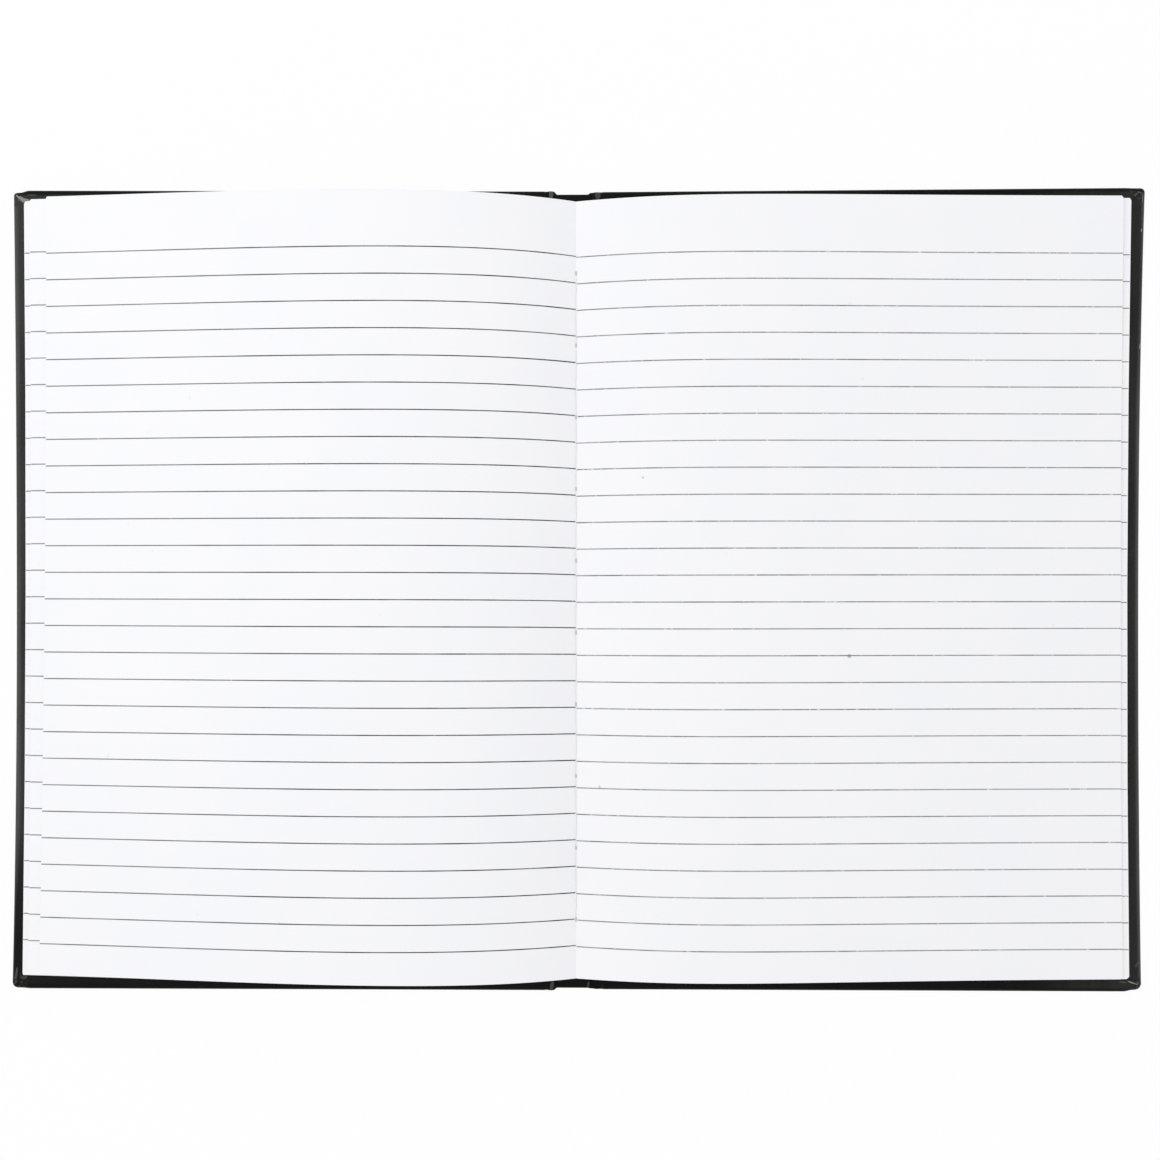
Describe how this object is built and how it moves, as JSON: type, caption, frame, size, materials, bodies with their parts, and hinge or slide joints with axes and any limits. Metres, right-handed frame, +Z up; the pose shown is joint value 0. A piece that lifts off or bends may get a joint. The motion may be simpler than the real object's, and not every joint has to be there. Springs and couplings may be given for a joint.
{
  "type": "open hardcover ruled notebook",
  "caption": "Hardcover notebook lying open: two arched stacks of sewn, ruled leaves on black cloth-covered boards joined by a flat spine.",
  "frame": {"origin": "on the table, under the middle of the spine: the middle of the bottom face of the whole part", "axes": "+X towards the right-hand page's fore-edge, +Y towards the head of the pages, +Z up"},
  "size_m": [0.3064, 0.2174, 0.0157],
  "materials": {
    "page_paper": "uncoated white writing paper",
    "ruling_ink": "thin grey printed line",
    "thread": "white sewing thread",
    "lining_gauze": "glued gauze",
    "greyboard": "plain grey board",
    "cover_cloth": "black grained imitation leather, low sheen",
    "endpaper": "uncoated white endpaper"
  },
  "bodies": {
    "book_block": {"page_block": "page_paper", "ruling_left": "ruling_ink", "ruling_right": "ruling_ink", "sewing_thread": "thread", "spine_lining": "lining_gauze", "spine_card": "greyboard", "spine_cloth": "cover_cloth"},
    "front_cover": {"front_board": "greyboard", "front_cover_cloth": "cover_cloth", "front_pastedown": "endpaper"},
    "back_cover": {"back_board": "greyboard", "back_cover_cloth": "cover_cloth", "back_pastedown": "endpaper"}
  },
  "joints": [
    {"name": "front_cover_hinge", "type": "hinge", "parent": "book_block", "child": "front_cover", "pos_m": [-0.0062, 0, 0], "axis": [0, -1, 0], "range_deg": [0, 90]},
    {"name": "back_cover_hinge", "type": "hinge", "parent": "book_block", "child": "back_cover", "pos_m": [0.0062, 0, 0], "axis": [0, 1, 0], "range_deg": [0, 90]}
  ]
}
